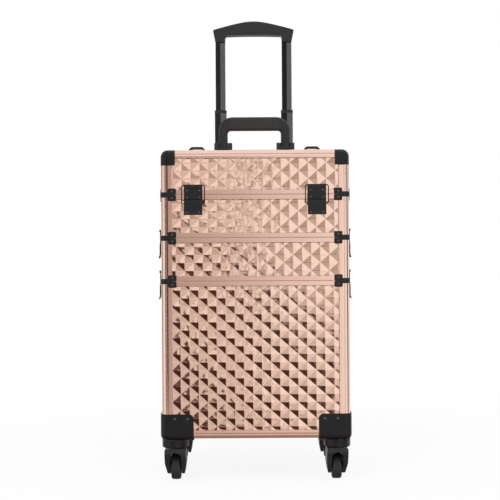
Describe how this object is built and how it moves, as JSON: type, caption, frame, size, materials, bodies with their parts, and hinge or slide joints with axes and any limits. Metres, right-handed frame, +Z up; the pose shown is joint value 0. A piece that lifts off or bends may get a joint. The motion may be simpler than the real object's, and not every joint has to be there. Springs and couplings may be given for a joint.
{
  "type": "makeup train case",
  "caption": "Rolling makeup train case with stacked lift-off trays, a hinged lid, draw latches, a carry handle, a telescopic trolley handle and swivel casters.",
  "frame": {"origin": "on the floor under the middle of the whole object's box", "axes": "+Z up, -Y towards the front with the lid latches, +X to the right seen from the front"},
  "size_m": [0.3674, 0.2888, 0.889],
  "materials": {
    "frame_alu": "rose gold anodised",
    "embossed_skin": "rose gold metallised, embossed",
    "lined_board": "fibreboard with a black lining",
    "trolley_tube": "black anodised",
    "caster_tyre": "matte",
    "steel_pin": "plain",
    "black_wire": "gloss black",
    "black_metal": "satin black",
    "black_plastic": "satin black"
  },
  "bodies": {
    "base": {"base_boards": "lined_board", "base_skins": "embossed_skin", "base_frame": "frame_alu", "base_corner_clips": "black_plastic", "base_latch_plates": "black_metal", "caster_guards": "black_plastic", "trolley_outer_tubes": "trolley_tube", "trolley_foot": "black_plastic", "trolley_clamp": "black_plastic"},
    "tier_2": {"tier_2_boards": "lined_board", "tier_2_skins": "embossed_skin", "tier_2_frame": "frame_alu", "tier_2_corner_clips": "black_plastic", "tier_2_latch_plates": "black_metal"},
    "tier_1": {"tier_1_boards": "lined_board", "tier_1_skins": "embossed_skin", "tier_1_frame": "frame_alu", "tier_1_corner_clips": "black_plastic", "tier_1_latch_plates": "black_metal", "hinge_fixed_leaf": "black_metal"},
    "lid": {"lid_boards": "lined_board", "lid_skins": "embossed_skin", "lid_frame": "frame_alu", "lid_corner_caps": "black_plastic", "lid_corner_clips": "black_plastic", "lid_latch_strikes": "black_metal", "hinge_lid_leaf": "black_metal", "handle_brackets": "black_plastic", "handle_pins": "steel_pin", "strap_loops": "black_plastic"},
    "carry_handle": {"carry_handle": "black_plastic"},
    "trolley_mid": {"trolley_mid_tubes": "trolley_tube", "trolley_mid_collars": "black_plastic"},
    "trolley_inner": {"trolley_inner_tubes": "trolley_tube", "trolley_grip": "black_plastic"},
    "trolley_button": {"trolley_button": "black_plastic"},
    "caster_fork_front_left": {"caster_fork_front_left": "black_plastic", "caster_axle_front_left": "steel_pin"},
    "caster_wheel_front_left": {"caster_wheel_front_left": "caster_tyre"},
    "caster_fork_front_right": {"caster_fork_front_right": "black_plastic", "caster_axle_front_right": "steel_pin"},
    "caster_wheel_front_right": {"caster_wheel_front_right": "caster_tyre"},
    "caster_fork_rear_right": {"caster_fork_rear_right": "black_plastic", "caster_axle_rear_right": "steel_pin"},
    "caster_wheel_rear_right": {"caster_wheel_rear_right": "caster_tyre"},
    "caster_fork_rear_left": {"caster_fork_rear_left": "black_plastic", "caster_axle_rear_left": "steel_pin"},
    "caster_wheel_rear_left": {"caster_wheel_rear_left": "caster_tyre"},
    "latch_lever_front_left": {"latch_lever_front_left": "black_metal"},
    "latch_bail_front_left": {"latch_bail_front_left": "black_wire"},
    "latch_lever_front_right": {"latch_lever_front_right": "black_metal"},
    "latch_bail_front_right": {"latch_bail_front_right": "black_wire"},
    "latch_lever_mid_left": {"latch_lever_mid_left": "black_metal"},
    "latch_bail_mid_left": {"latch_bail_mid_left": "black_wire"},
    "latch_lever_mid_right": {"latch_lever_mid_right": "black_metal"},
    "latch_bail_mid_right": {"latch_bail_mid_right": "black_wire"},
    "latch_lever_low_left": {"latch_lever_low_left": "black_metal"},
    "latch_bail_low_left": {"latch_bail_low_left": "black_wire"},
    "latch_lever_low_right": {"latch_lever_low_right": "black_metal"},
    "latch_bail_low_right": {"latch_bail_low_right": "black_wire"}
  },
  "joints": [
    {"name": "tier_2_lift", "type": "slide", "parent": "base", "child": "tier_2", "axis": [0, 0, 1], "range_m": [0, 0.12]},
    {"name": "tier_1_lift", "type": "slide", "parent": "tier_2", "child": "tier_1", "axis": [0, 0, 1], "range_m": [0, 0.12]},
    {"name": "lid_hinge", "type": "hinge", "parent": "tier_1", "child": "lid", "pos_m": [0, 0.11195, 0.6036], "axis": [-1, 0, 0], "range_deg": [0, 55]},
    {"name": "carry_handle_fold", "type": "hinge", "parent": "lid", "child": "carry_handle", "pos_m": [0, -0.01065, 0.614], "axis": [1, 0, 0], "range_deg": [-80, 80]},
    {"name": "trolley_mid_slide", "type": "slide", "parent": "base", "child": "trolley_mid", "axis": [0, 0, 1], "range_m": [-0.135, 0]},
    {"name": "trolley_inner_slide", "type": "slide", "parent": "trolley_mid", "child": "trolley_inner", "axis": [0, 0, 1], "range_m": [-0.138, 0]},
    {"name": "trolley_button_press", "type": "slide", "parent": "trolley_inner", "child": "trolley_button", "axis": [0, 0, -1], "range_m": [0, 0.004], "stiffness_N_per_m": 800},
    {"name": "caster_swivel_front_left", "type": "hinge", "parent": "base", "child": "caster_fork_front_left", "pos_m": [-0.1469, -0.10755, 0.06], "axis": [0, 0, 1], "continuous": true},
    {"name": "wheel_spin_front_left", "type": "hinge", "parent": "caster_fork_front_left", "child": "caster_wheel_front_left", "pos_m": [-0.1469, -0.09055, 0.025], "axis": [1, 0, 0], "continuous": true},
    {"name": "caster_swivel_front_right", "type": "hinge", "parent": "base", "child": "caster_fork_front_right", "pos_m": [0.1469, -0.10755, 0.06], "axis": [0, 0, 1], "continuous": true},
    {"name": "wheel_spin_front_right", "type": "hinge", "parent": "caster_fork_front_right", "child": "caster_wheel_front_right", "pos_m": [0.1469, -0.09055, 0.025], "axis": [1, 0, 0], "continuous": true},
    {"name": "caster_swivel_rear_right", "type": "hinge", "parent": "base", "child": "caster_fork_rear_right", "pos_m": [0.1469, 0.08625, 0.06], "axis": [0, 0, 1], "continuous": true},
    {"name": "wheel_spin_rear_right", "type": "hinge", "parent": "caster_fork_rear_right", "child": "caster_wheel_rear_right", "pos_m": [0.1469, 0.10325, 0.025], "axis": [1, 0, 0], "continuous": true},
    {"name": "caster_swivel_rear_left", "type": "hinge", "parent": "base", "child": "caster_fork_rear_left", "pos_m": [-0.1469, 0.08625, 0.06], "axis": [0, 0, 1], "continuous": true},
    {"name": "wheel_spin_rear_left", "type": "hinge", "parent": "caster_fork_rear_left", "child": "caster_wheel_rear_left", "pos_m": [-0.1469, 0.10325, 0.025], "axis": [1, 0, 0], "continuous": true},
    {"name": "latch_lever_front_left_throw", "type": "hinge", "parent": "tier_1", "child": "latch_lever_front_left", "pos_m": [-0.111, -0.14005, 0.5085], "axis": [-1, 0, 0], "range_deg": [0, 88]},
    {"name": "latch_bail_front_left_swing", "type": "hinge", "parent": "latch_lever_front_left", "child": "latch_bail_front_left", "pos_m": [-0.111, -0.13995, 0.5032], "axis": [-1, 0, 0], "range_deg": [-77, 0]},
    {"name": "latch_lever_front_right_throw", "type": "hinge", "parent": "tier_1", "child": "latch_lever_front_right", "pos_m": [0.111, -0.14005, 0.5085], "axis": [-1, 0, 0], "range_deg": [0, 88]},
    {"name": "latch_bail_front_right_swing", "type": "hinge", "parent": "latch_lever_front_right", "child": "latch_bail_front_right", "pos_m": [0.111, -0.13995, 0.5032], "axis": [-1, 0, 0], "range_deg": [-77, 0]},
    {"name": "latch_lever_mid_left_throw", "type": "hinge", "parent": "tier_2", "child": "latch_lever_mid_left", "pos_m": [-0.1794, -0.01065, 0.4305], "axis": [0, 1, 0], "range_deg": [0, 88]},
    {"name": "latch_bail_mid_left_swing", "type": "hinge", "parent": "latch_lever_mid_left", "child": "latch_bail_mid_left", "pos_m": [-0.1793, -0.01065, 0.4252], "axis": [0, 1, 0], "range_deg": [-77, 0]},
    {"name": "latch_lever_mid_right_throw", "type": "hinge", "parent": "tier_2", "child": "latch_lever_mid_right", "pos_m": [0.1794, -0.01065, 0.4305], "axis": [0, -1, 0], "range_deg": [0, 88]},
    {"name": "latch_bail_mid_right_swing", "type": "hinge", "parent": "latch_lever_mid_right", "child": "latch_bail_mid_right", "pos_m": [0.1793, -0.01065, 0.4252], "axis": [0, -1, 0], "range_deg": [-77, 0]},
    {"name": "latch_lever_low_left_throw", "type": "hinge", "parent": "base", "child": "latch_lever_low_left", "pos_m": [-0.1794, -0.01065, 0.3525], "axis": [0, 1, 0], "range_deg": [0, 88]},
    {"name": "latch_bail_low_left_swing", "type": "hinge", "parent": "latch_lever_low_left", "child": "latch_bail_low_left", "pos_m": [-0.1793, -0.01065, 0.3472], "axis": [0, 1, 0], "range_deg": [-77, 0]},
    {"name": "latch_lever_low_right_throw", "type": "hinge", "parent": "base", "child": "latch_lever_low_right", "pos_m": [0.1794, -0.01065, 0.3525], "axis": [0, -1, 0], "range_deg": [0, 88]},
    {"name": "latch_bail_low_right_swing", "type": "hinge", "parent": "latch_lever_low_right", "child": "latch_bail_low_right", "pos_m": [0.1793, -0.01065, 0.3472], "axis": [0, -1, 0], "range_deg": [-77, 0]}
  ],
  "couplings": [
    {"joint": "latch_bail_front_left_swing", "follows": "latch_lever_front_left_throw", "ratio": -0.87},
    {"joint": "latch_bail_front_right_swing", "follows": "latch_lever_front_right_throw", "ratio": -0.87},
    {"joint": "latch_bail_mid_left_swing", "follows": "latch_lever_mid_left_throw", "ratio": -0.87},
    {"joint": "latch_bail_mid_right_swing", "follows": "latch_lever_mid_right_throw", "ratio": -0.87},
    {"joint": "latch_bail_low_left_swing", "follows": "latch_lever_low_left_throw", "ratio": -0.87},
    {"joint": "latch_bail_low_right_swing", "follows": "latch_lever_low_right_throw", "ratio": -0.87}
  ]
}
